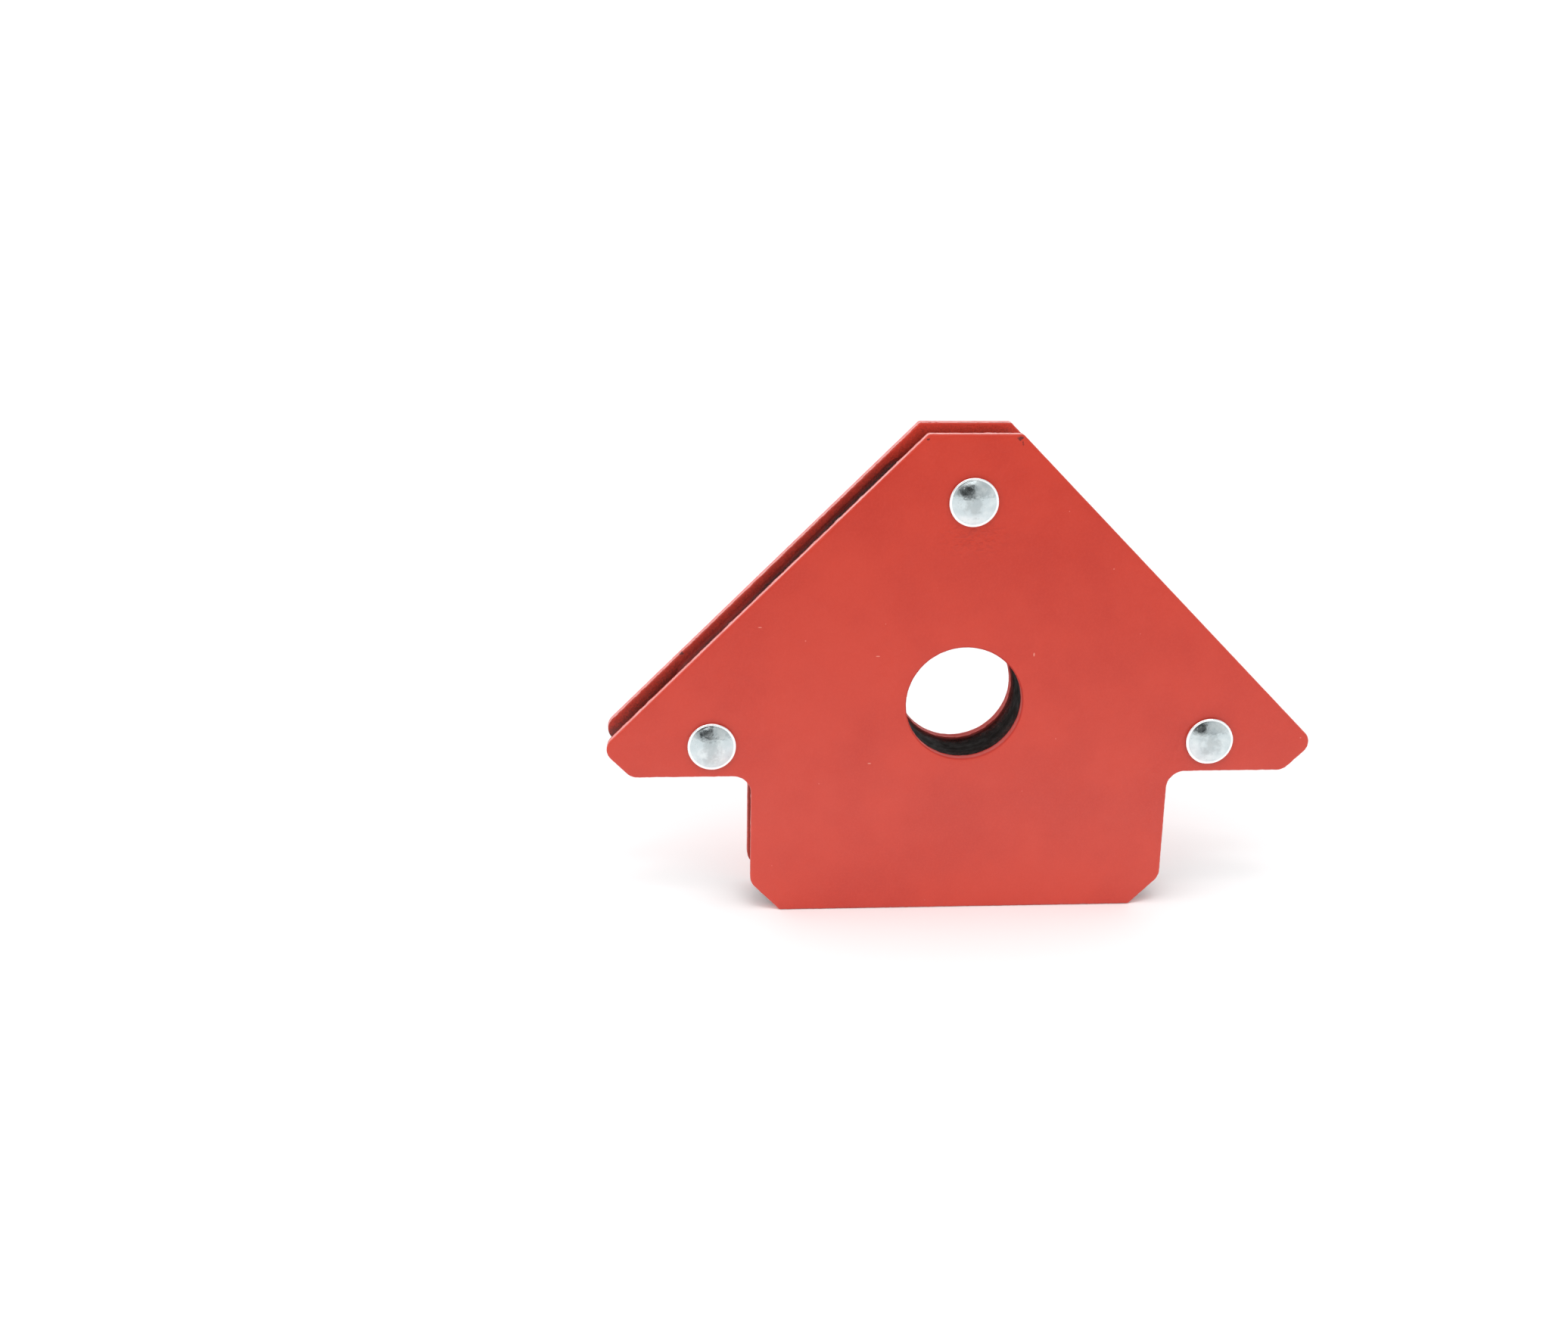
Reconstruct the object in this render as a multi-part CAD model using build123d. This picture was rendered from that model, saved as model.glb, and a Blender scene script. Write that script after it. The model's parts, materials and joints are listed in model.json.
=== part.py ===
from build123d import *
import os
from math import sqrt

# Welding magnet holder: two arrow-shaped steel plates riveted over a magnet carrier.
# Millimetres, +Z up. The base lies on Z = 0, and the origin is midway across the width and the
# thickness. The front plate and the rivet heads face -Y, the rolled rivet tails face +Y.

# Outline of both plates, symmetric about X = 0. The slopes are at 45 degrees.
height = 81.0
sharp_width = 119.0  # between the tips before their corners are rounded
apex_flat = 15.0
tip_cut = 4.9  # height of the 45 degree cut under each tip
stem_width = 69.8
base_cut = 5.0  # 45 degree cut at each end of the base
apex_radius = 0.8
tip_radius = 2.3
tip_under_radius = 2.5
inner_radius = 3.0
stem_radius = 2.6
base_radius = 0.5

# Thickness, from front to back: plate, gap, plate.
plate_thickness = 2.0
gap = 8.5
edge_radius = 0.35

# Centre bore
bore_radius = 9.6
bore_above_arms = 12.3
bore_relief = 0.3  # how much larger the carrier's bore is, in radius

# Rivets and the spacer sleeves round them
shank_diameter = 4.0
rivet_clearance = 0.05
sleeve_clearance = 0.05
sleeve_wall = 0.85
top_rivet_below_apex = 10.8
side_rivet_from_tip = 18.1
side_rivet_above_arm = 5.5
head_diameter = 8.0
head_rim = 0.6  # height of the head's straight edge
head_edge_radius = 0.2
head_dome = 0.85
tail_diameter = 5.9
tail_height = 1.0
tail_lip = 0.3  # height of the rolled ring's outer edge at its widest
tail_hollow_diameter = 2.9
tail_hollow_depth = 0.6  # below the plate's face, to where the cone starts
tail_hollow_cone = 0.55
tail_split_narrow = 0.06  # width of a split if carried in to the rivet's axis
tail_split_wide = 0.5  # and at the ring's edge

# Carrier between the plates
setback = 1.1  # from the edge of the plates
carrier_past_side_rivet = 5.6
carrier_past_top_rivet = 5.2
carrier_corner_radius = 3.5
carrier_small_radius = 1.0

# Ferrite blocks in the carrier's pockets
pocket_wall = 1.8
pocket_clearance = 0.12
magnet_chamfer = 0.5

# Places worked out from the sizes above
front = -(gap / 2 + plate_thickness)
back = -front
gap_front, gap_back = -gap / 2, gap / 2
half_width = sharp_width / 2
half_stem = stem_width / 2
slope_sum = height + apex_flat / 2  # X + Z anywhere on the right slope
tip_z = slope_sum - half_width
arm_z = tip_z - tip_cut
bore_z = arm_z + bore_above_arms
sleeve_bore = shank_diameter / 2 + sleeve_clearance
sleeve_radius = sleeve_bore + sleeve_wall
sleeve_hole = sleeve_radius + sleeve_clearance
side_rivet_x = half_width - side_rivet_from_tip
side_rivet_z = arm_z + side_rivet_above_arm
top_rivet_z = height - top_rivet_below_apex
rivet_places = {
    "top": (0, top_rivet_z),
    "left": (-side_rivet_x, side_rivet_z),
    "right": (side_rivet_x, side_rivet_z),
}
tail_split_angles = {"top": (90,), "left": (0, 180), "right": (20, 200)}


def slab(sketch, y_front, y_back):
    """A sketch drawn in X and Z, as a solid from y_front to y_back."""
    return extrude(Plane.XZ.offset(-y_back) * sketch, y_back - y_front)


def arrow(corners):
    """A symmetric face, from the (x, z, radius) corners of its right half, base to top."""
    mirrored = [(-x, z, radius) for x, z, radius in reversed(corners)]
    loop = corners + mirrored
    edge = FilletPolyline([(x, z) for x, z, _ in loop], radius=[r for _, _, r in loop], close=True)
    return make_face(edge)


def block(x_low, x_high, z_low, z_high):
    """A rectangle given by its sides."""
    middle = Pos((x_low + x_high) / 2, (z_low + z_high) / 2)
    return middle * Rectangle(x_high - x_low, z_high - z_low)


def holes(radius, places):
    """Equal round holes, as one sketch."""
    return Sketch() + [Pos(x, z) * Circle(radius) for x, z in places]


def plate(y_front, y_back):
    """One stamped plate, with its outline and centre hole softly rounded."""
    outline = arrow([
        (half_stem - base_cut, 0, base_radius),
        (half_stem, base_cut, stem_radius),
        (half_stem, arm_z, inner_radius),
        (half_width - tip_cut, arm_z, tip_under_radius),
        (half_width, tip_z, tip_radius),
        (apex_flat / 2, height, apex_radius),
    ])
    bore = Pos(0, bore_z) * Circle(bore_radius)
    solid = slab(outline - bore, y_front, y_back)
    faces = solid.faces().sort_by(Axis.Y)
    solid = fillet(faces[0].edges() + faces[-1].edges(), edge_radius)
    rivets = holes(shank_diameter / 2 + rivet_clearance, rivet_places.values())
    return solid - slab(rivets, y_front, y_back)


def magnet_zones():
    """The sides of each ferrite block, (x low, x high, z low, z high), by name."""
    inset = setback + pocket_wall
    slope = slope_sum - inset * sqrt(2)
    round_bore = bore_radius + bore_relief + pocket_wall
    round_sleeve = sleeve_hole + pocket_wall
    side_in, side_out = round_bore, side_rivet_x - round_sleeve
    side_top = slope - side_out
    base_out = half_stem - inset
    base_low = base_cut + inset * (sqrt(2) - 1)
    base_top = bore_z - round_bore
    top_low = max(side_top + pocket_wall, bore_z + round_bore)
    top_high = top_rivet_z - round_sleeve
    top_out = slope - top_high
    return {
        "magnet_top": (-top_out, top_out, top_low, top_high),
        "magnet_left": (-side_out, -side_in, arm_z + inset, side_top),
        "magnet_right": (side_in, side_out, arm_z + inset, side_top),
        "magnet_base_left": (-base_out, -pocket_wall / 2, base_low, base_top),
        "magnet_base_right": (pocket_wall / 2, base_out, base_low, base_top),
    }


def carrier(zones):
    """The moulded core, with the bore, the holes for the sleeves and a pocket for each block."""
    slope = slope_sum - setback * sqrt(2)
    stem = half_stem - setback
    end = side_rivet_x + carrier_past_side_rivet
    top = top_rivet_z + carrier_past_top_rivet
    base_rise = base_cut + setback * (sqrt(2) - 1)
    outline = arrow([
        (stem - base_rise + setback, setback, carrier_small_radius),
        (stem, base_rise, carrier_small_radius),
        (stem, arm_z + setback, carrier_small_radius),
        (end, arm_z + setback, carrier_corner_radius),
        (end, slope - end, carrier_corner_radius),
        (slope - top, top, carrier_corner_radius),
    ])
    openings = Pos(0, bore_z) * Circle(bore_radius + bore_relief)
    openings += holes(sleeve_hole, rivet_places.values())
    openings += [block(*zone) for zone in zones.values()]
    return slab(outline - openings, gap_front, gap_back)


def magnet(zone):
    """A ferrite block as thick as the gap, loose in its pocket by the clearance."""
    x_low, x_high, z_low, z_high = zone
    c = pocket_clearance
    rectangle = block(x_low + c, x_high - c, z_low + c, z_high - c)
    return slab(chamfer(rectangle.vertices(), magnet_chamfer), gap_front, gap_back)


def spacer(x, z):
    """A plain sleeve between the plates."""
    ring = Circle(sleeve_radius) - Circle(sleeve_bore)
    return slab(Pos(x, z) * ring, gap_front, gap_back)


def rivet(x, z, split_angles):
    """A domed rivet whose tubular end is rolled over the rear plate and split."""
    shank, head, tail = shank_diameter / 2, head_diameter / 2, tail_diameter / 2
    hollow = tail_hollow_diameter / 2
    rim, crown = front - head_rim, front - head_rim - head_dome
    dome_radius = (head**2 + head_dome**2) / (2 * head_dome)
    lip, crest = back + tail_lip, back + tail_height
    crest_radius = (hollow + tail) / 2
    tail_roll = tail - crest_radius
    mouth = crest - (crest_radius - hollow)
    floor = back - tail_hollow_depth
    half = Curve() + [
        Line((0, floor - tail_hollow_cone), (0, crown)),
        RadiusArc((0, crown), (head, rim), -dome_radius),
        Polyline((head, rim), (head, front), (shank, front), (shank, back), (tail - tail_lip, back)),
        RadiusArc((tail - tail_lip, back), (tail, lip), -tail_lip),
        RadiusArc((tail, lip), (crest_radius, crest), -tail_roll),
        RadiusArc((crest_radius, crest), (hollow, mouth), hollow - crest_radius),
        Polyline((hollow, mouth), (hollow, floor), (0, floor - tail_hollow_cone)),
    ]
    solid = revolve(make_face(half), Axis.Y)
    rings = solid.edges().filter_by(GeomType.CIRCLE)
    solid = fillet(rings.filter_by(lambda ring: abs(ring.radius - head) < 1e-6), head_edge_radius)
    narrow, wide = tail_split_narrow / 2, tail_split_wide / 2
    wedge = make_face(Polyline((0, -narrow), (tail, -wide), (tail, wide), (0, narrow), close=True))
    split = slab(wedge, back, back + 2 * tail_height)
    solid -= [Rot(0, angle, 0) * split for angle in split_angles]
    return Pos(x, 0, z) * solid


magnet_sides = magnet_zones()
parts = {
    "front_plate": plate(front, gap_front),
    "rear_plate": plate(gap_back, back),
    "carrier": carrier(magnet_sides),
}
for name, zone in magnet_sides.items():
    parts[name] = magnet(zone)
for name, place in rivet_places.items():
    parts[f"spacer_{name}"] = spacer(*place)
    parts[f"rivet_{name}"] = rivet(*place, tail_split_angles[name])

os.makedirs("parts", exist_ok=True)
for name, shape in parts.items():
    export_step(shape, f"parts/{name}.step")
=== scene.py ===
"""Looks for the welding magnet holder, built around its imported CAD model.

Lengths are in millimetres up to the point where a mesh is made, and +Z is up. Outlines are drawn
in X and Z, and the front of the holder faces -Y.
"""

import json
import math

import bpy
import numpy as np
from mathutils import Matrix, Vector, geometry, noise


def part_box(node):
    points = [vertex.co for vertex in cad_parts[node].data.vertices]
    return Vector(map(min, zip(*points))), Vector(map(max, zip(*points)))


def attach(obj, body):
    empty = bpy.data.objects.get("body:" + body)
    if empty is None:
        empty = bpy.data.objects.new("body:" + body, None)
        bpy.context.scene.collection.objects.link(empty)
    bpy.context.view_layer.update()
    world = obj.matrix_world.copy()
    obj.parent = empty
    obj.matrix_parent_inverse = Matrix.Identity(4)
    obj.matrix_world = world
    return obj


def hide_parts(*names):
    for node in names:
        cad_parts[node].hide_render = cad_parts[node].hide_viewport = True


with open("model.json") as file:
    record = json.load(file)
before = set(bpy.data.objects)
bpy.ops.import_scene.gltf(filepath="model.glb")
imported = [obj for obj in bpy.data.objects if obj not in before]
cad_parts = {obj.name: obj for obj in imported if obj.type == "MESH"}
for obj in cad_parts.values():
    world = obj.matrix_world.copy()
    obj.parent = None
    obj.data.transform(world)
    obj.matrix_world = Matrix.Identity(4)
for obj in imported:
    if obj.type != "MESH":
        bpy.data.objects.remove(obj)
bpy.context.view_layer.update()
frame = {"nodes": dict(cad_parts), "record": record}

MM = 0.001


def low_high(node):
    """A CAD node's lowest and highest corners, in millimetres."""
    low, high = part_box(node)
    return low / MM, high / MM


# ------------------------------------------------------------------ places that the CAD model gives
front_low, front_high = low_high("front_plate")
rear_low, rear_high = low_high("rear_plate")
FRONT, GAP_FRONT = front_low.y, front_high.y
GAP_BACK, BACK = rear_low.y, rear_high.y
HEIGHT = front_high.z
bore = next(mount for mount in frame["record"]["mounts"] if mount["name"] == "centre_bore")
BORE_Z = bore["pos_m"][2] / MM
BORE_RADIUS = bore["dims"]["r_mm"]
rivets = {}
for side in ("top", "left", "right"):
    low, high = low_high(f"rivet_{side}")
    rivets[side] = ((low.x + high.x) / 2, (low.z + high.z) / 2)
# The three rivets are alike, so the last one gives these for all.
HEAD_TOP, TAIL_TOP, HEAD_RADIUS = low.y, high.y, (high.x - low.x) / 2

# ------------------------------------------------------ sizes of the outline, the same as the CAD's
SHARP_WIDTH = 119.0
APEX_FLAT = 15.0
TIP_CUT = 4.9
STEM = 69.8 / 2
BASE_CUT = 5.0
HALF = SHARP_WIDTH / 2
SLOPE_SUM = HEIGHT + APEX_FLAT / 2
TIP_Z = SLOPE_SUM - HALF
ARM_Z = TIP_Z - TIP_CUT
RIVET_HOLE = 2.05  # radius in the plates
SLEEVE_HOLE = 2.95  # radius in the carrier
SETBACK = 1.1  # from the plates' edges to the carrier's
BORE_RELIEF = 0.3  # how much larger the carrier's bore is, in radius
POCKET_CLEARANCE = 0.12
PAST_SIDE_RIVET = 5.6  # how far the carrier goes on beyond a rivet
PAST_TOP_RIVET = 5.2
HEAD_RIM = 0.6  # height of the head's straight edge

# --------------------------------------------------------------------------------- camera and light
camera = bpy.data.objects.new("camera", bpy.data.cameras.new("camera"))
camera.data.lens = 42.337
camera.data.sensor_width = 36.0
camera.data.clip_start = 0.01
camera_place = Vector((-50.96, -289.57, 133.47))
right = Vector((0.99743, -0.07022, 0.01401)).normalized()
backward = right.cross(Vector((0.00807, 0.30459, 0.95245))).normalized()
turn = Matrix((right, backward.cross(right), backward)).transposed().to_4x4()
camera.matrix_world = Matrix.Translation(camera_place * MM) @ turn
bpy.context.scene.collection.objects.link(camera)
bpy.context.scene.camera = camera
bpy.context.scene.view_settings.view_transform = "Standard"

# Broad soft light from above, a little in front and to the left.
sun = bpy.data.objects.new("overhead", bpy.data.lights.new("overhead", "SUN"))
sun.data.energy = 1.33
sun.data.angle = math.radians(70)
sun.rotation_euler = (math.radians(26), math.radians(-14), 0)
bpy.context.scene.collection.objects.link(sun)

# A narrow lamp over the floor just in front of the base, which the lower half of the face mirrors.
pool = bpy.data.objects.new("floor_pool", bpy.data.lights.new("floor_pool", "AREA"))
pool.data.shape = "RECTANGLE"
pool.data.size, pool.data.size_y = 0.16, 0.04
pool.data.energy = 0.011
pool.data.spread = math.radians(32)
pool.location = (0.0, -0.11, 0.25)
pool_aim = Vector((0.0, -0.045, 0.0)) - pool.location
pool.rotation_euler = pool_aim.to_track_quat("-Z", "Y").to_euler()
pool.visible_camera = False
pool.visible_glossy = False
bpy.context.scene.collection.objects.link(pool)


class Nodes:
    """Short calls for building a node tree."""

    def __init__(self, tree):
        self.tree = tree
        tree.nodes.clear()

    def add(self, kind, inputs=None, **settings):
        node = self.tree.nodes.new(kind)
        for name, value in settings.items():
            setattr(node, name, value)
        for name, value in (inputs or {}).items():
            self.set(node.inputs[name], value)
        return node

    def set(self, socket, value):
        if isinstance(value, bpy.types.NodeSocket):
            self.tree.links.new(value, socket)
        else:
            socket.default_value = value

    def math(self, operation, *values):
        node = self.add("ShaderNodeMath", operation=operation)
        for socket, value in zip(node.inputs, values):
            self.set(socket, value)
        return node.outputs[0]

    def vector(self, operation, *values):
        node = self.add("ShaderNodeVectorMath", operation=operation)
        for socket, value in zip(node.inputs, values):
            self.set(socket, value)
        return node.outputs["Value" if operation == "LENGTH" else 0]

    def ramp(self, value, low, high, to_low=0.0, to_high=1.0, smooth=True):
        node = self.add("ShaderNodeMapRange", interpolation_type="SMOOTHSTEP" if smooth else "LINEAR")
        for name, item in (("Value", value), ("From Min", low), ("From Max", high),
                           ("To Min", to_low), ("To Max", to_high)):
            self.set(node.inputs[name], item)
        return node.outputs["Result"]

    def blend(self, factor, a, b):
        """A number between a and b."""
        return self.add("ShaderNodeMix", {0: factor, 2: a, 3: b}).outputs[0]

    def mix(self, factor, a, b):
        """A colour between a and b."""
        node = self.add("ShaderNodeMix", data_type="RGBA")
        self.set(node.inputs["Factor"], factor)
        self.set(node.inputs[6], a)
        self.set(node.inputs[7], b)
        return node.outputs[2]

    def noise(self, coords, size, detail=2.0, roughness=0.5, distortion=0.0):
        """Noise from 0 to 1 whose features are about size millimetres wide."""
        node = self.add("ShaderNodeTexNoise", {
            "Vector": coords, "Scale": 1 / (size * MM), "Detail": detail,
            "Roughness": roughness, "Distortion": distortion})
        return node.outputs["Fac"]

    def specks(self, coords, size, radius, edge, share):
        """Round specks in some of the cells of a random grid; radius and edge are cell shares."""
        cells = self.add("ShaderNodeTexVoronoi", {
            "Vector": coords, "Scale": 1 / (size * MM), "Randomness": 1.0})
        chance = self.add("ShaderNodeSeparateColor", {0: cells.outputs["Color"]}).outputs[0]
        return self.math("MULTIPLY", self.ramp(cells.outputs["Distance"], radius, edge),
                         self.math("GREATER_THAN", chance, 1 - share))

    def from_axis(self, coords, x, z):
        """The distance in metres from a line along Y, given in millimetres."""
        offset = self.vector("SUBTRACT", coords, (x * MM, 0, z * MM))
        return self.vector("LENGTH", self.vector("MULTIPLY", offset, (1, 0, 1)))

    def bump(self, height, depth, normal=None):
        """A bump where height 1 stands depth millimetres over height 0."""
        node = self.add("ShaderNodeBump", {"Height": height, "Distance": depth * MM, "Strength": 1.0})
        if normal is not None:
            self.set(node.inputs["Normal"], normal)
        return node.outputs["Normal"]


# The world is a pale light tent, brighter behind the holder. One soft dark patch low in front, where
# the photographer stood, shows in the rivets' domes. The camera itself sees plain white.
world = bpy.data.worlds.new("world")
bpy.context.scene.world = world
world.use_nodes = True
w = Nodes(world.node_tree)
direction = w.add("ShaderNodeTexCoord").outputs["Generated"]
split = w.add("ShaderNodeSeparateXYZ", {0: direction})
around = w.ramp(split.outputs["Y"], -0.9, 0.9, 0.72, 2.1)
overhead = w.ramp(split.outputs["Z"], 0.2, 0.95)
sky = w.blend(overhead, around, 0.56)
to_patch = w.vector("SUBTRACT", direction, (-0.17, -1.0, 0.35))
off_patch = w.vector("LENGTH", w.vector("DIVIDE", to_patch, (0.31, 1.0, 0.37)))
behind = w.math("GREATER_THAN", split.outputs["Y"], 0.0)
shade = w.math("MAXIMUM", w.ramp(off_patch, 0.7, 1.3, 0.03, 1.0), behind)
seen = w.add("ShaderNodeLightPath").outputs["Is Camera Ray"]
strength = w.blend(seen, w.math("MULTIPLY", sky, shade), 1.2)
background = w.add("ShaderNodeBackground", {"Color": (0.985, 0.995, 1.0, 1.0), "Strength": strength})
w.add("ShaderNodeOutputWorld", {"Surface": background.outputs[0]})

floor_mesh = bpy.data.meshes.new("floor")
FLOOR = 6.0  # half its width, in metres
floor_mesh.from_pydata([(-FLOOR, -FLOOR, 0), (FLOOR, -FLOOR, 0), (FLOOR, FLOOR, 0), (-FLOOR, FLOOR, 0)],
                       [], [(0, 1, 2, 3)])
floor = bpy.data.objects.new("floor", floor_mesh)
bpy.context.scene.collection.objects.link(floor)


def material(name, build):
    """A material whose shader is set up by build(nodes, shader inputs, object coordinates)."""
    made = bpy.data.materials.new(name)
    made.use_nodes = True
    nodes = Nodes(made.node_tree)
    shader = nodes.add("ShaderNodeBsdfPrincipled")
    coords = nodes.add("ShaderNodeTexCoord").outputs["Object"]
    build(nodes, shader.inputs, coords)
    nodes.add("ShaderNodeOutputMaterial", {"Surface": shader.outputs["BSDF"]})
    return made


def build_floor(nodes, shader, coords):
    """A plain pale matt floor."""
    nodes.set(shader["Base Color"], (0.93, 0.93, 0.93, 1))
    nodes.set(shader["Roughness"], 0.75)
    nodes.set(shader["Specular IOR Level"], 0.2)


floor_mesh.materials.append(material("floor", build_floor))


# ---------------------------------------------------------------------------------------- materials
RIPPLE = Vector(rivets["top"]) + Vector((0.4, -6.0))  # a leathery patch below the top rivet
RIPPLE_HALF = Vector((4.6, 2.6))

# Places in X, Y and Z, and half-sizes.
CHIPS = [
    ((6.9, FRONT, 80.4), (0.42, 0.6, 0.32)),
    ((7.4, FRONT, 79.7), (0.16, 0.5, 0.42)),
    ((-7.6, FRONT, 80.2), (0.22, 0.5, 0.10)),
    ((-46.3, GAP_BACK + 0.2, 42.2), (0.42, 0.5, 0.32)),
]
SCRATCHES = [
    ((-33.7, FRONT, 49.7), (0.30, 0.4, 0.07)),
    ((-14.5, FRONT, 44.7), (0.32, 0.4, 0.08)),
    ((-15.4, FRONT, 26.2), (0.28, 0.4, 0.09)),
    ((11.1, FRONT, 44.8), (0.12, 0.4, 0.30)),
]
THROUGH = 9.0  # half-depth of a spot that doesn't depend on Y


def spot(nodes, coords, place, size, wobble, edge=0.35):
    """A ragged spot, 1 inside and 0 outside; size is its half-extent along X, Y and Z."""
    offset = nodes.vector("SUBTRACT", coords, tuple(c * MM for c in place))
    scaled = nodes.vector("DIVIDE", offset, tuple(c * MM for c in size))
    reach = nodes.vector("LENGTH", scaled)
    return nodes.ramp(nodes.math("ADD", reach, wobble), 1.0 + edge, 1.0 - edge)


def inset_from_outline(nodes, across, height):
    """How far in from the nearest straight edge of the outline a point is, in metres."""
    along_slope = nodes.math("SUBTRACT", SLOPE_SUM * MM, nodes.math("ADD", across, height))
    above_arm = nodes.math("SUBTRACT", height, ARM_Z * MM)
    low = nodes.math("MAXIMUM", nodes.math("SUBTRACT", STEM * MM, across), above_arm)
    top = nodes.math("MINIMUM", nodes.math("MULTIPLY", along_slope, math.sqrt(0.5)),
                     nodes.math("SUBTRACT", HEIGHT * MM, height))
    return nodes.math("MINIMUM", nodes.math("MINIMUM", top, height), low)


def build_coat(nodes, shader, coords):
    """Satin red powder coat: orange peel, faint clouding, light nibs, scratches and dark chips.

    Inside the gap the inner faces get a lighter red near their edges as painted light, then darken
    inward, partly as thinner spray and partly as painted shade.
    The outer faces are a little glossier towards the base.
    """
    axes = nodes.add("ShaderNodeSeparateXYZ", {0: coords})
    across = nodes.math("ABSOLUTE", axes.outputs["X"])
    depth = nodes.math("ABSOLUTE", axes.outputs["Y"])
    height = axes.outputs["Z"]
    face = nodes.ramp(depth, (BACK - 0.3) * MM, (BACK - 0.15) * MM)
    inner = nodes.ramp(depth, (GAP_BACK + 0.25) * MM, (GAP_BACK + 0.05) * MM)
    from_bore = nodes.from_axis(coords, 0, BORE_Z)
    wall = nodes.ramp(from_bore, (BORE_RADIUS + 0.3) * MM, (BORE_RADIUS + 0.1) * MM)

    cloud = nodes.noise(coords, 14.0, 3)
    grain = nodes.noise(coords, 0.35, 2)
    colour = nodes.mix(nodes.ramp(cloud, 0.3, 0.7), (0.54, 0.030, 0.012, 1), (0.60, 0.040, 0.017, 1))
    colour = nodes.mix(nodes.math("MULTIPLY", nodes.ramp(grain, 0.35, 0.75), 0.25),
                       colour, (0.64, 0.052, 0.025, 1))
    nib = nodes.specks(coords, 2.6, 0.055, 0.03, 0.18)
    colour = nodes.mix(nodes.math("MULTIPLY", nib, 0.55), colour, (0.85, 0.26, 0.2, 1))
    for place, size in SCRATCHES:
        scratch = spot(nodes, coords, place, size, 0.0)
        colour = nodes.mix(nodes.math("MULTIPLY", scratch, 0.6), colour, (0.88, 0.36, 0.28, 1))

    dust = nodes.noise(coords, 0.26, 3, 0.7)
    inset = nodes.math("ADD", inset_from_outline(nodes, across, height),
                       nodes.ramp(dust, 0.2, 0.8, -0.65 * MM, 0.65 * MM))
    # Painted light: the inner faces are lifted to a lighter red, against the shade of the gap.
    colour = nodes.mix(nodes.math("MULTIPLY", inner, 0.4), colour, (0.86, 0.062, 0.034, 1))
    # Darker away from the outline: partly thinner spray, partly painted shade in the gap.
    spray_fade_and_painted_shade = nodes.ramp(inset, 0.3 * MM, 2.7 * MM, 0.0, 0.84, smooth=False)
    # Painted shade: the inner faces are darker down the slopes than near the apex, where more light
    # falls.
    painted_shade_below_apex = nodes.ramp(height, (HEIGHT - 2) * MM, (HEIGHT - 9) * MM, 0.0, 0.34)
    spray_fade_and_painted_shade = nodes.math("MINIMUM", nodes.math("ADD", spray_fade_and_painted_shade, painted_shade_below_apex), 0.88)
    colour = nodes.mix(nodes.math("MULTIPLY", inner, spray_fade_and_painted_shade), colour, (0.06, 0.010, 0.008, 1))
    # Bore wall in a darker, deeper red: partly a thinner coat, partly painted shade inside the hole.
    colour = nodes.mix(nodes.math("MULTIPLY", wall, 0.5), colour, (0.42, 0.012, 0.008, 1))

    ripple_place, ripple_size = (RIPPLE.x, FRONT, RIPPLE.y), (RIPPLE_HALF.x, THROUGH, RIPPLE_HALF.y)
    wrinkled = spot(nodes, coords, ripple_place, ripple_size, 0.0, 0.7)
    wrinkles = nodes.noise(nodes.vector("MULTIPLY", coords, (0.8, 1.0, 1.5)), 0.75, 3, 0.55, 0.6)
    painted_furrow_shade = nodes.math("MULTIPLY", wrinkled, nodes.ramp(wrinkles, 0.46, 0.62))
    # Painted shade: the ripple's furrows are darkened in colour as well as bumped.
    colour = nodes.mix(nodes.math("MULTIPLY", painted_furrow_shade, 0.22), colour, (0.30, 0.012, 0.010, 1))

    ragged = nodes.ramp(nodes.noise(coords, 0.7, 3), 0.25, 0.75, -0.7, 0.7)
    chips = 0.0
    for place, size in CHIPS:
        chips = nodes.math("MAXIMUM", chips, spot(nodes, coords, place, size, ragged))
    colour = nodes.mix(nodes.math("MULTIPLY", chips, 0.78), colour, (0.045, 0.014, 0.016, 1))
    nodes.set(shader["Base Color"], colour)

    rough = nodes.ramp(nodes.noise(coords, 3.0, 2), 0.3, 0.7, 0.30, 0.38)
    matt = nodes.math("MAXIMUM", nodes.math("MULTIPLY", chips, 0.3), nodes.math("MULTIPLY", wall, 0.4))
    nodes.set(shader["Roughness"], nodes.math("ADD", rough, matt))
    face_gloss = nodes.ramp(height, 18 * MM, 76 * MM, 0.66, 0.36, smooth=False)
    edge_gloss = nodes.math("SUBTRACT", 0.7, nodes.math("MULTIPLY", inner, 0.35))
    nodes.set(shader["Specular IOR Level"], nodes.blend(face, edge_gloss, face_gloss))

    normal = nodes.bump(nodes.noise(coords, 0.95, 2, 0.45), 0.045)
    normal = nodes.bump(nodes.noise(coords, 0.3, 2), 0.012, normal)
    normal = nodes.bump(nib, 0.02, normal)
    normal = nodes.bump(nodes.math("MULTIPLY", wrinkled, wrinkles), 0.12, normal)
    normal = nodes.bump(nodes.math("MULTIPLY", inner, dust), 0.05, normal)
    nodes.set(shader["Normal"], nodes.bump(nodes.math("SUBTRACT", 1.0, chips), 0.06, normal))


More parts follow.
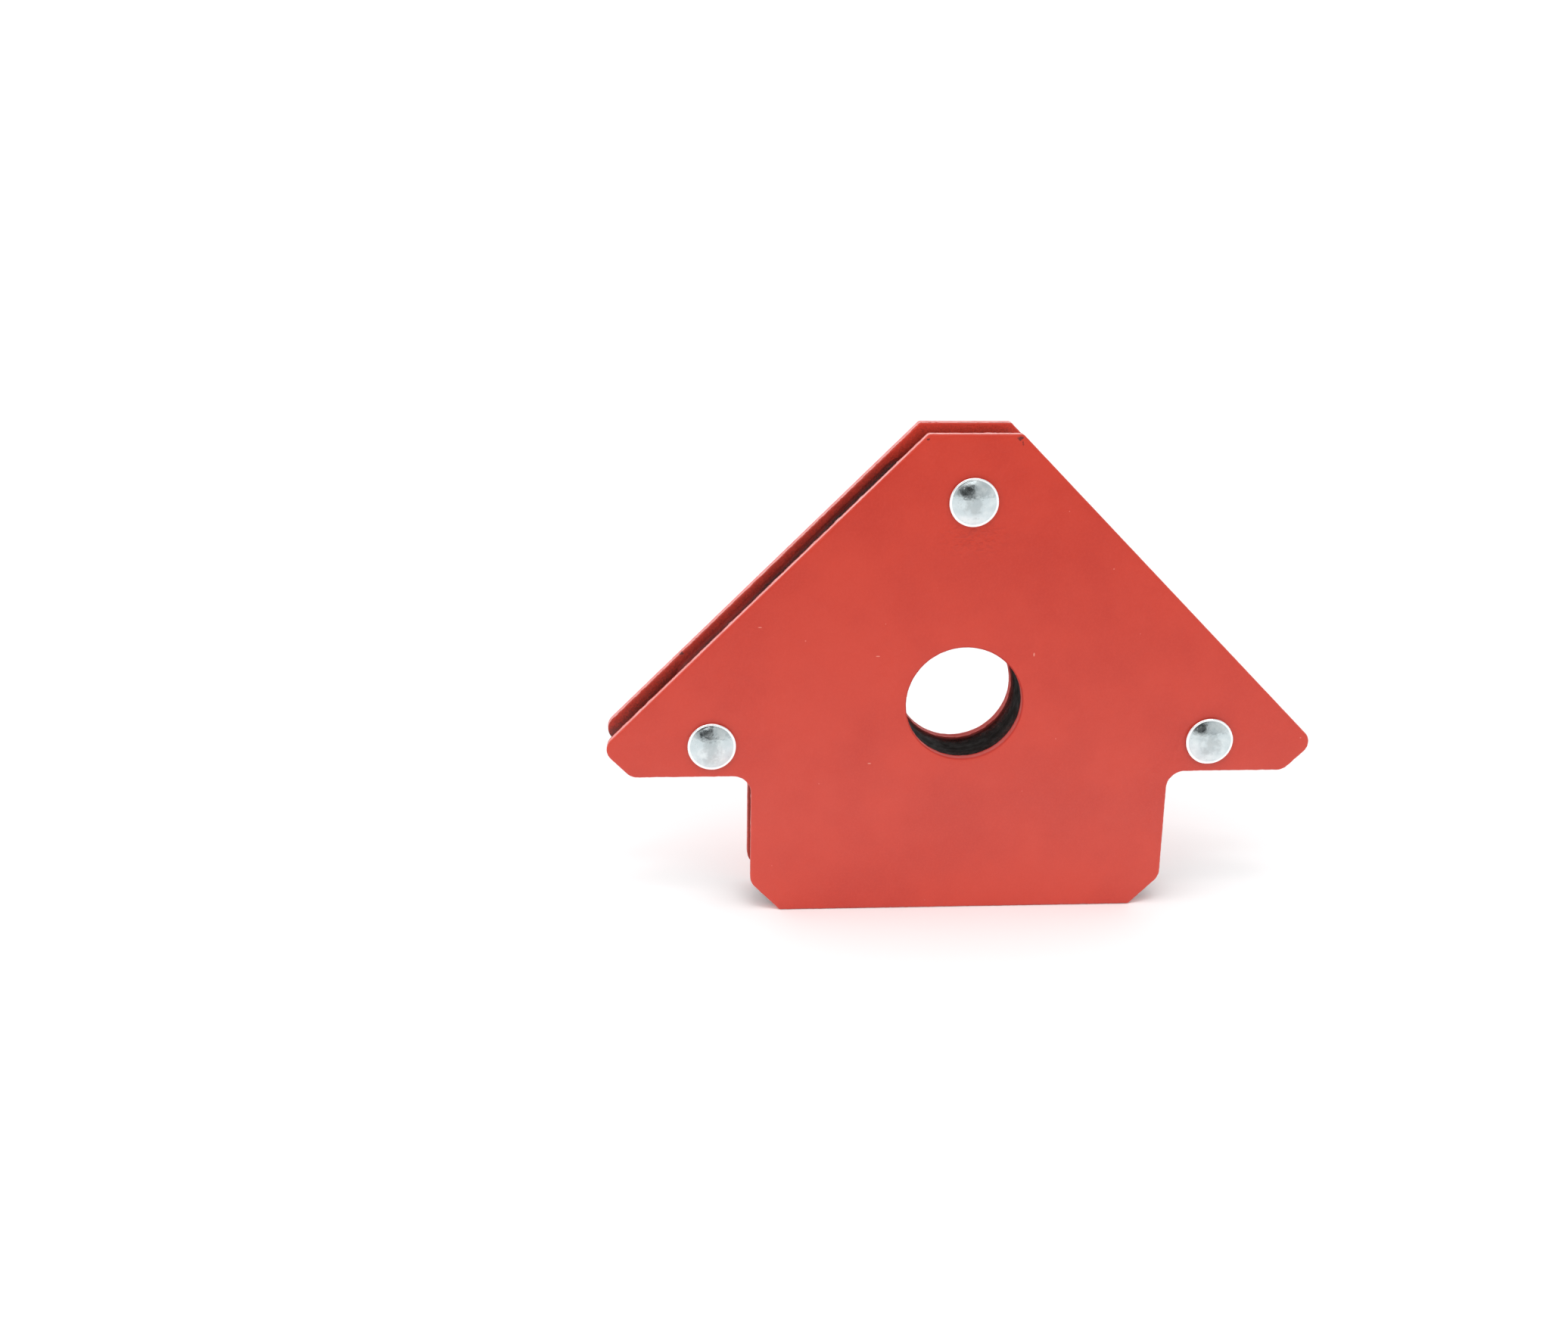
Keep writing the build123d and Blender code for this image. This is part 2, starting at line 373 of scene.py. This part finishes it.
def build_core(nodes, shader, coords):
    """Black moulded core with red overspray that drifted in past each plate."""
    depth = nodes.math("ABSOLUTE", nodes.add("ShaderNodeSeparateXYZ", {0: coords}).outputs["Y"])
    near_plate = nodes.ramp(depth, 0.0, GAP_BACK * MM, 0.5, 1.0, smooth=False)
    drift = nodes.ramp(nodes.noise(coords, 26.0, 2), 0.35, 0.65, -0.2, 0.1)
    dust = nodes.noise(coords, 0.28, 3, 0.7)
    in_bore = nodes.ramp(nodes.from_axis(coords, 0, BORE_Z), 13 * MM, 11 * MM, 0.0, 0.35)
    amount = nodes.math("ADD", nodes.math("MULTIPLY", near_plate, 0.75), drift)
    amount = nodes.math("ADD", nodes.math("SUBTRACT", amount, in_bore), dust)
    red = nodes.ramp(nodes.math("SUBTRACT", amount, 0.95), -0.3, 0.5, 0.0, 0.95)
    black = nodes.mix(nodes.noise(coords, 0.8, 3), (0.003, 0.002, 0.0018, 1), (0.010, 0.007, 0.006, 1))
    nodes.set(shader["Base Color"], nodes.mix(red, black, (0.25, 0.024, 0.019, 1)))
    nodes.set(shader["Specular IOR Level"], 0.03)
    nodes.set(shader["Roughness"], nodes.ramp(nodes.noise(coords, 1.2, 2), 0.3, 0.7, 0.6, 0.8))
    normal = nodes.bump(nodes.noise(coords, 0.6, 3, 0.6), 0.08)
    nodes.set(shader["Normal"], nodes.bump(dust, 0.03, normal))


def build_zinc(nodes, shader, coords):
    """Bright zinc plating with tiny pits, a painted reflection patch and a painted rim highlight on
    each head, and darker colour in the tails' hollows.
    """
    along = nodes.add("ShaderNodeSeparateXYZ", {0: coords}).outputs["Y"]
    at_tail = nodes.math("GREATER_THAN", along, 0.0)
    bloom = nodes.noise(coords, 1.6, 3)
    colour = nodes.mix(nodes.ramp(bloom, 0.35, 0.7), (0.60, 0.67, 0.69, 1), (0.72, 0.78, 0.79, 1))
    ragged = nodes.ramp(nodes.noise(coords, 1.3, 3, 0.6), 0.25, 0.75, -0.6, 0.6)
    for x, z in rivets.values():
        # Darker colour in each tail's hollow.
        hollow = nodes.ramp(nodes.from_axis(coords, x, z), 1.75 * MM, 1.35 * MM)
        hollow_darkening = nodes.math("MULTIPLY", nodes.math("MULTIPLY", hollow, at_tail), 0.75)
        colour = nodes.mix(hollow_darkening, colour, (0.26, 0.28, 0.29, 1))
        # Painted reflection: a dull grey patch near each head's centre, standing for the dark room
        # mirrored in the dome.
        painted_reflection_patch = spot(nodes, coords, (x, FRONT, z - 0.3), (1.3, THROUGH, 1.7), ragged, 0.6)
        colour = nodes.mix(nodes.math("MULTIPLY", painted_reflection_patch, 0.55), colour, (0.34, 0.38, 0.39, 1))
    pits = nodes.specks(coords, 0.42, 0.3, 0.12, 0.28)
    colour = nodes.mix(nodes.math("MULTIPLY", pits, 0.35), colour, (0.42, 0.44, 0.46, 1))
    # Painted highlight: the head's narrow rim and rounded edge get a near-white colour for the bright
    # ring that the edge catches.
    rim_y = FRONT - HEAD_RIM
    rim = nodes.math("MULTIPLY", nodes.ramp(along, (rim_y - 0.05) * MM, (rim_y - 0.02) * MM),
                     nodes.math("LESS_THAN", along, FRONT * MM))
    nodes.set(shader["Base Color"], nodes.mix(rim, colour, (0.95, 0.97, 0.98, 1)))
    nodes.set(shader["Metallic"], 1.0)
    nodes.set(shader["Roughness"], nodes.ramp(bloom, 0.3, 0.7, 0.14, 0.25))
    normal = nodes.bump(nodes.noise(coords, 0.22, 2, 0.6), 0.010)
    nodes.set(shader["Normal"], nodes.bump(nodes.math("SUBTRACT", 1.0, pits), 0.008, normal))


def build_ferrite(nodes, shader, coords):
    """Sintered ferrite: charcoal grey, finely granular, with the lines of the grinding wheel."""
    grain = nodes.noise(coords, 0.18, 3, 0.7)
    lines = nodes.noise(nodes.vector("MULTIPLY", coords, (0.06, 1.0, 1.0)), 0.16, 2)
    colour = nodes.mix(grain, (0.028, 0.028, 0.031, 1), (0.075, 0.075, 0.080, 1))
    nodes.set(shader["Base Color"], colour)
    nodes.set(shader["Roughness"], nodes.ramp(lines, 0.3, 0.7, 0.42, 0.62))
    nodes.set(shader["Normal"], nodes.bump(lines, 0.010, nodes.bump(grain, 0.012)))


def build_steel(nodes, shader, coords):
    """Turned steel tube, bare, with fine rings along its length and a trace of oil film."""
    rings = nodes.noise(nodes.vector("MULTIPLY", coords, (0.15, 1.0, 0.15)), 0.12, 2)
    film = nodes.noise(coords, 2.2, 3)
    nodes.set(shader["Base Color"], nodes.mix(film, (0.42, 0.41, 0.40, 1), (0.56, 0.55, 0.53, 1)))
    nodes.set(shader["Metallic"], 1.0)
    nodes.set(shader["Roughness"], nodes.ramp(film, 0.3, 0.7, 0.26, 0.40))
    nodes.set(shader["Normal"], nodes.bump(rings, 0.006))


coat = material("red_coat", build_coat)
core_black = material("black_core", build_core)
zinc = material("zinc", build_zinc)
ferrite = material("ferrite", build_ferrite)
steel = material("bare_steel", build_steel)


# --------------------------------------------------------------------------------- outlines in X, Z
def runs(start, end, step):
    """Points from start up to, not including, end, no more than step apart."""
    count = max(1, math.ceil((end - start).length / step))
    return [start.lerp(end, i / count) for i in range(count)]


def rounded(corners, step):
    """A closed loop through (x, z, radius) corners, each rounded by its radius."""
    loop = []
    for i, (x, z, radius) in enumerate(corners):
        here, before = Vector((x, z)), Vector(corners[i - 1][:2])
        after = Vector(corners[(i + 1) % len(corners)][:2])
        a, b = (before - here).normalized(), (after - here).normalized()
        half = a.angle(b) / 2
        cut = radius / math.tan(half)
        start, end = here + a * cut, here + b * cut
        arc = [start]
        if radius:
            middle = here + (a + b).normalized() * radius / math.sin(half)
            spoke = start - middle
            sweep = math.pi - 2 * half
            if spoke.cross(end - middle) < 0:
                sweep = -sweep
            pieces = max(5, math.ceil(abs(sweep) * radius / step))
            for k in range(1, pieces + 1):
                angle = sweep * k / pieces
                arc.append(middle + Vector((spoke.x * math.cos(angle) - spoke.y * math.sin(angle),
                                            spoke.x * math.sin(angle) + spoke.y * math.cos(angle))))
        next_radius = corners[(i + 1) % len(corners)][2]
        onward = (here - after).normalized()
        beyond = Vector(corners[(i + 2) % len(corners)][:2])
        next_half = onward.angle((beyond - after).normalized()) / 2
        next_start = after + onward * next_radius / math.tan(next_half)
        loop += arc[:-1] if radius else []
        loop += runs(arc[-1], next_start, step)
    return loop


def mirrored(corners):
    """The corners of the right half, and then those of the left."""
    return corners + [(-x, z, radius) for x, z, radius in reversed(corners)]


def hole(x, z, radius, step):
    """A round hole, clockwise, so that the material is always on the left of a loop."""
    count = max(24, math.ceil(2 * math.pi * radius / step))
    return [Vector((x + radius * math.cos(-2 * math.pi * i / count),
                    z + radius * math.sin(-2 * math.pi * i / count))) for i in range(count)]


def into_material(loop):
    """At each point of a loop, the direction into the material, longer at sharp corners."""
    out = []
    for i, here in enumerate(loop):
        a, b = here - loop[i - 1], loop[(i + 1) % len(loop)] - here
        a, b = Vector((-a.y, a.x)).normalized(), Vector((-b.y, b.x)).normalized()
        middle = (a + b).normalized()
        out.append(middle / max(0.5, middle.dot(a)))
    return out


def inside(loops, points):
    """Whether each point lies in the material that the loops bound, by the even-odd rule."""
    points = np.array(points).reshape(-1, 2)
    within = np.zeros(len(points), bool)
    for loop in loops:
        a = np.array([(p.x, p.y) for p in loop])
        b = np.roll(a, -1, 0)
        for (ax, az), (bx, bz) in zip(a, b):
            if az != bz:
                crosses = (az > points[:, 1]) != (bz > points[:, 1])
                where = ax + (points[:, 1] - az) / (bz - az) * (bx - ax)
                within ^= crosses & (points[:, 0] < where)
    return within


def grid(loops, spacing, clear, low, high):
    """Points of a square grid that lie in the material, at least clear away from every loop."""
    xs, zs = np.arange(low[0], high[0], spacing), np.arange(low[1], high[1], spacing)
    points = np.array([(x, z) for z in zs for x in xs])
    points = points[inside(loops, points)]
    rims = np.array([(p.x, p.y) for loop in loops for p in loop])
    far = np.ones(len(points), bool)
    for chunk in np.array_split(np.arange(len(points)), max(1, len(points) // 500)):
        gap = np.linalg.norm(points[chunk][:, None] - rims[None], axis=2).min(1)
        far[chunk] = gap > clear
    return [Vector(p) for p in points[far]]


def fill(loops, extra):
    """Triangles over the loops' points and the extra ones, as indices into loops + extra."""
    points = [p for loop in loops for p in loop] + extra
    edges, start = [], 0
    for loop in loops:
        count = len(loop)
        edges += [(start + i, start + (i + 1) % count) for i in range(count)]
        start += count
    found = geometry.delaunay_2d_cdt([Vector(p) for p in points], edges, [], 1, 1e-7, True)
    origin = [where[0] for where in found[3]]
    faces = [[origin[i] for i in face] for face in found[2]]
    middles = [tuple(sum((points[i] for i in face), Vector((0, 0))) / len(face)) for face in faces]
    keep = inside(loops, middles)
    return [face for face, wanted in zip(faces, keep) if wanted]


def make(name, vertices, faces, finish, node):
    """Adds an object made of millimetre vertices, which stands for a CAD node."""
    mesh = bpy.data.meshes.new(name)
    mesh.from_pydata([tuple(c * MM for c in v) for v in vertices], [], faces)
    mesh.materials.append(finish)
    mesh.shade_smooth()
    piece = bpy.data.objects.new(name, mesh)
    bpy.context.scene.collection.objects.link(piece)
    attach(piece, "root")
    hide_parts(node)


def slab(loops, section, extra, relief):
    """Vertices and faces of a flat body with holes.

    section gives, for each loop and each of its points, the rows (inset, y) from front to back.
    relief gives how far a point of the front or back face is pushed along Y.
    """
    vertices, faces, rims = [], [], ([], [])
    for number, loop in enumerate(loops):
        inward = into_material(loop)
        rows = [section(number, point) for point in loop]
        depth, count, base = len(rows[0]), len(loop), len(vertices)
        for row in range(depth):
            for point, n, profile in zip(loop, inward, rows):
                inset, y = profile[row]
                vertices.append((point.x + n.x * inset, y, point.y + n.y * inset))
        for row in range(depth - 1):
            for i in range(count):
                j = (i + 1) % count
                a, b = base + row * count, base + (row + 1) * count
                faces.append((a + i, b + i, b + j, a + j))
        rims[0].append(range(base, base + count))
        rims[1].append(range(base + (depth - 1) * count, base + depth * count))
    for face_number, (rim, points) in enumerate(zip(rims, extra)):
        rim_loops = [[Vector((vertices[i][0], vertices[i][2])) for i in ids] for ids in rim]
        index = [i for ids in rim for i in ids]
        y = vertices[index[0]][1]
        index += range(len(vertices), len(vertices) + len(points))
        vertices += [(p.x, y + relief(face_number, p), p.y) for p in points]
        for face in fill(rim_loops, points):
            face = [index[i] for i in face]
            faces.append(tuple(face) if face_number == 0 else tuple(reversed(face)))
    return vertices, faces


# ------------------------------------------------------------------------------------------- plates
EDGE = 0.35  # radius of the corner that the punch rolled over
BURR = 0.24  # size of the soft inner corner
TORN = 0.04  # how far in the broken part of the edge is
STEP = 0.4  # between points along an outline
FACE_GRID = 1.3  # between points of a plate's outer face
RIPPLE_GRID = 0.2
INNER_GRID = 4.0
SEAT = 4.5  # how far the hollow round each rivet reaches beyond its head
plate_outline = rounded(mirrored([
    (STEM - BASE_CUT, 0, 0.5),
    (STEM, BASE_CUT, 2.6),
    (STEM, ARM_Z, 3.0),
    (HALF - TIP_CUT, ARM_Z, 2.5),
    (HALF, TIP_Z, 2.3),
    (APEX_FLAT / 2, HEIGHT, 0.8),
]), STEP)
plate_loops = [plate_outline, hole(0, BORE_Z, BORE_RADIUS, STEP)]
plate_loops += [hole(x, z, RIVET_HOLE, STEP) for x, z in rivets.values()]


def wobble(point, y, size, seed):
    """Smooth noise of about -0.5 to 0.5 along an edge."""
    return noise.noise(Vector((point.x / size + seed, y / size, point.y / size - seed)))


def quarter(steps):
    """The (sine, cosine) pairs of a quarter turn."""
    angles = [math.pi / 2 * k / steps for k in range(steps + 1)]
    return [(math.sin(angle), math.cos(angle)) for angle in angles]


def plate_section(y_out, y_in, seed):
    """The rows of a stamped edge, from the plate's outer face to its inner one.

    The outer corner is rolled over by the punch. Behind a smooth band the metal broke away, so the
    rest of the edge is rougher and a little further in.
    """
    way = 1 if y_in > y_out else -1
    thick = abs(y_in - y_out)

    def section(number, point):
        if number > 1:
            return [(0, y_out), (0, y_in)] if way > 0 else [(0, y_in), (0, y_out)]
        roll = EDGE * (1 + 0.4 * wobble(point, 0, 0.6, seed) + 0.12 * wobble(point, 0, 4.0, seed))
        burr = BURR * (1 + 0.5 * wobble(point, 5, 0.6, seed))
        rows = [(roll * (1 - across), roll * (1 - down)) for across, down in quarter(5)]
        rows.append((0.0, 0.3 * thick))
        for k, depth in enumerate((0.45, 0.6, 0.75, 0.9), 1):
            rows.append((0.03 + 0.06 * (0.5 + wobble(point, k, 0.55, seed)), depth * thick))
        rows += [(TORN, thick - burr), (TORN + burr * 0.3, thick - burr * 0.3), (TORN + burr, thick)]
        rows = [(inset, y_out + way * depth) for inset, depth in rows]
        return rows if way > 0 else rows[::-1]

    return section


def around_rivets(point, inner, outer):
    """1 at a rivet's seat, 0 beyond outer."""
    near = min((point - Vector(place)).length for place in rivets.values())
    t = min(1.0, max(0.0, (near - inner) / (outer - inner)))
    return 1 - t * t * (3 - 2 * t)


def ripple_strength(point):
    """How strong the leathery ripple below the top rivet is."""
    offset = point - RIPPLE
    reach_out = math.hypot(offset.x / RIPPLE_HALF.x, offset.y / RIPPLE_HALF.y)
    return max(0.0, 1 - reach_out) ** 0.7


def plate(name, y_out, y_in, seed, rippled):
    """A plate with its outer face at y_out, drawn in a little round the rivets."""
    way = 1 if y_in > y_out else -1
    outer = grid(plate_loops, FACE_GRID, 1.0, (-HALF, 0), (HALF, HEIGHT))
    if rippled:
        gap = Vector((0.6, 0.6))  # between the coarse points and the fine ones
        fine_low, fine_high = RIPPLE - RIPPLE_HALF, RIPPLE + RIPPLE_HALF
        low, high = fine_low - gap, fine_high + gap
        outer = [p for p in outer if not (low.x < p.x < high.x and low.y < p.y < high.y)]
        outer += grid(plate_loops, RIPPLE_GRID, 0.4, fine_low, fine_high)
    inner = grid(plate_loops, INNER_GRID, 2.0, (-HALF, 0), (HALF, HEIGHT))

    def relief(face_number, point):
        """How far a point of the outer face is pushed in. The inner face stays flat."""
        if (face_number == 0) != (way > 0):
            return 0.0
        push = 0.05 * around_rivets(point, HEAD_RADIUS, HEAD_RADIUS + SEAT)
        push += 0.018 * wobble(point, 0, 22, seed)
        if rippled:
            push += 0.06 * ripple_strength(point) * (
                0.7 * wobble(point, 3, 0.7, seed) + 0.8 * wobble(point, 9, 0.4, seed))
        return way * push

    extra = (outer, inner) if way > 0 else (inner, outer)
    vertices, faces = slab(plate_loops, plate_section(y_out, y_in, seed), extra, relief)
    make(name, vertices, faces, coat, name.replace("coated_", ""))


plate("coated_front_plate", FRONT, GAP_FRONT, 3.7, True)
plate("coated_rear_plate", BACK, GAP_BACK, 21.3, False)

# ------------------------------------------------------------------------------------------ carrier
slope = SLOPE_SUM - SETBACK * math.sqrt(2)
stem = STEM - SETBACK
carrier_end = rivets["right"][0] + PAST_SIDE_RIVET
carrier_top = rivets["top"][1] + PAST_TOP_RIVET
base_rise = BASE_CUT + SETBACK * (math.sqrt(2) - 1)
carrier_loops = [rounded(mirrored([
    (stem - base_rise + SETBACK, SETBACK, 1.0),
    (stem, base_rise, 1.0),
    (stem, ARM_Z + SETBACK, 1.0),
    (carrier_end, ARM_Z + SETBACK, 3.5),
    (carrier_end, slope - carrier_end, 3.5),
    (slope - carrier_top, carrier_top, 3.5),
]), STEP), hole(0, BORE_Z, BORE_RADIUS + BORE_RELIEF, STEP)]
carrier_loops += [hole(x, z, SLEEVE_HOLE, STEP) for x, z in rivets.values()]
clearance = Vector((POCKET_CLEARANCE, 0, POCKET_CLEARANCE))
for pocket in ("top", "left", "right", "base_left", "base_right"):
    low, high = low_high(f"magnet_{pocket}")
    low, high = low - clearance, high + clearance
    pocket_corners = [(low.x, low.z), (low.x, high.z), (high.x, high.z), (high.x, low.z)]
    corners = [Vector(corner) for corner in pocket_corners]
    carrier_loops.append([p for i in range(4) for p in runs(corners[i], corners[(i + 1) % 4], 2.0)])


def carrier_section(number, point):
    """A moulded wall that is a little uneven, with a parting line along its middle."""
    if number > 1:
        return [(0, GAP_FRONT), (0, GAP_BACK)]
    rows = [(0.25, GAP_FRONT), (0.05, GAP_FRONT + 0.25)]
    levels = 14
    for k in range(levels + 1):
        y = GAP_FRONT + 0.5 + (GAP_BACK - GAP_FRONT - 1.0) * k / levels
        uneven = 0.11 * (0.5 + wobble(point, y, 0.9, 8.1)) + 0.10 * (0.5 + wobble(point, y, 3.5, 2.2))
        rows.append((0.0 if k == levels // 2 else uneven, y))
    return rows + [(0.05, GAP_BACK - 0.25), (0.25, GAP_BACK)]


vertices, faces = slab(carrier_loops, carrier_section, ([], []), lambda face_number, point: 0.0)
make("core", vertices, faces, core_black, "carrier")


# ------------------------------------------------------------------------------------------- rivets
def lathe(profile, columns, place, change):
    """Vertices and faces of a closed turned body.

    profile is its (radius, y) points from end to end, and columns the angles round its axis.
    change moves a point, given its radius, y and angle.
    """
    x, z = place
    vertices = [(x, profile[0][1], z)]
    for radius, y in profile[1:-1]:
        for angle in columns:
            r, depth = change(radius, y, angle)
            vertices.append((x + r * math.cos(angle), depth, z + r * math.sin(angle)))
    vertices.append((x, profile[-1][1], z))
    count, rows = len(columns), len(profile) - 2
    faces = []
    for i in range(count):
        j = (i + 1) % count
        faces.append((0, 1 + i, 1 + j))
        for row in range(rows - 1):
            a, b = 1 + row * count, 1 + (row + 1) * count
            faces.append((a + i, b + i, b + j, a + j))
        last = 1 + (rows - 1) * count
        faces.append((last + i, len(vertices) - 1, last + j))
    return vertices, faces


RIM = 0.15  # width of the head's flat rim
HEAD_EDGE = 0.18  # radius of the rim's outer corner
UNDERCUT = 0.16  # size of the soft corner under the head
SHANK = RIVET_HOLE - 0.05  # radius
TAIL_RADIUS = 2.95
TAIL_LIP = 0.3  # radius of the corner under the rolled ring
TAIL_HEIGHT = TAIL_TOP - BACK
HOLLOW = 1.45  # radius
HOLLOW_FLOOR = BACK - 0.6
FLOOR_RADIUS = HOLLOW - 0.06
CONE = 0.55  # depth of the hollow's pointed end


def rivet_profile():
    """The head's dome with its narrow flat rim, the shank and the rolled end, front to back."""
    rim_y = FRONT - HEAD_RIM
    edge = HEAD_RADIUS - HEAD_EDGE - RIM
    dome_height = rim_y - HEAD_TOP
    ball = (edge ** 2 + dome_height ** 2) / (2 * dome_height)
    profile = [(0.0, HEAD_TOP)]
    dome_steps = 40
    for k in range(1, dome_steps + 1):
        r = edge * k / dome_steps
        profile.append((r, HEAD_TOP + ball - math.sqrt(ball ** 2 - r ** 2)))
    profile += [(edge + 0.02, rim_y), (edge + RIM, rim_y)]
    for sine, cosine in quarter(5)[1:]:
        profile.append((edge + RIM + HEAD_EDGE * sine, rim_y + HEAD_EDGE * (1 - cosine)))
    profile += [(HEAD_RADIUS, FRONT - UNDERCUT * 1.2), (HEAD_RADIUS - UNDERCUT, FRONT)]
    profile += [(SHANK, FRONT), (SHANK, BACK), (TAIL_RADIUS - TAIL_LIP, BACK)]

    crest = (HOLLOW + TAIL_RADIUS) / 2
    outer, inner = TAIL_RADIUS - crest, crest - HOLLOW
    for sine, cosine in quarter(4)[1:]:
        profile.append((TAIL_RADIUS - TAIL_LIP + TAIL_LIP * sine, BACK + TAIL_LIP * (1 - cosine)))
    for sine, cosine in quarter(8)[1:]:
        profile.append((crest + outer * cosine, BACK + TAIL_LIP + (TAIL_HEIGHT - TAIL_LIP) * sine))
    for sine, cosine in quarter(8)[1:]:
        profile.append((crest - inner * sine, TAIL_TOP - inner * (1 - cosine)))
    profile += [(HOLLOW, HOLLOW_FLOOR + 0.3), (FLOOR_RADIUS, HOLLOW_FLOOR)]
    cone_steps = 8
    for k in range(1, cone_steps):
        profile.append((FLOOR_RADIUS * (1 - k / cone_steps), HOLLOW_FLOOR - CONE * k / cone_steps))
    profile.append((0.0, HOLLOW_FLOOR - CONE))
    return profile


def rivet(side, place, splits, seed):
    """One rivet. splits are the cracks in its rolled end, as (angle, half-width) in degrees."""
    count = 144
    columns = [2 * math.pi * i / count for i in range(count)]
    for angle, half in splits:
        middle = math.radians(angle)
        for offset in (-half - 0.35, -half, half, half + 0.35):
            columns.append((middle + math.radians(offset)) % (2 * math.pi))
    columns = sorted(set(round(c, 6) for c in columns))
    columns = [c for i, c in enumerate(columns) if i == 0 or c - columns[i - 1] > 0.004]

    def change(radius, y, angle):
        """Dents the dome a little, makes the rim and the rolled end uneven, and opens the cracks."""
        here = Vector((radius * math.cos(angle), radius * math.sin(angle)))
        if y < FRONT - HEAD_RIM - 0.01 and radius < HEAD_RADIUS - 0.5:
            y += 0.010 * (0.5 + wobble(here, 0, 0.45, seed)) + 0.03 * (0.5 + wobble(here, 0, 1.6, seed))
        if y < FRONT - 0.3 and radius > HEAD_RADIUS - 0.5:
            radius -= 0.03 * (0.5 + wobble(here, 1, 1.5, seed))
        if y > BACK + 0.01 and radius > HOLLOW - 0.2:
            y -= 0.06 * (0.5 + wobble(here, 2, 1.4, seed)) * (y - BACK)
            radius -= 0.05 * (0.5 + wobble(here, 4, 1.8, seed))
            for crack, half in splits:
                off = abs((math.degrees(angle) - crack + 180) % 360 - 180)
                ragged = half * (1 + 0.5 * wobble(here, y, 0.5, seed))
                if off <= ragged:
                    y = min(y, BACK + 0.02)
                elif off < half + 7:
                    y -= 0.12 * (1 - (off - half) / 7) * (y - BACK)
        return radius, y

    vertices, faces = lathe(rivet_profile(), columns, place, change)
    make(f"plated_rivet_{side}", vertices, faces, zinc, f"rivet_{side}")


rivet("top", rivets["top"], [(-90, 5)], 1.3)
rivet("left", rivets["left"], [(0, 7), (180, 4)], 5.9)
rivet("right", rivets["right"], [(-20, 6), (160, 4)], 9.4)

# ------------------------------------------------------------- CAD nodes that are shown as they are
for node, piece in frame["nodes"].items():
    finish = ferrite if node.startswith("magnet_") else steel if node.startswith("spacer_") else None
    if finish:
        piece.data.materials.clear()
        piece.data.materials.append(finish)
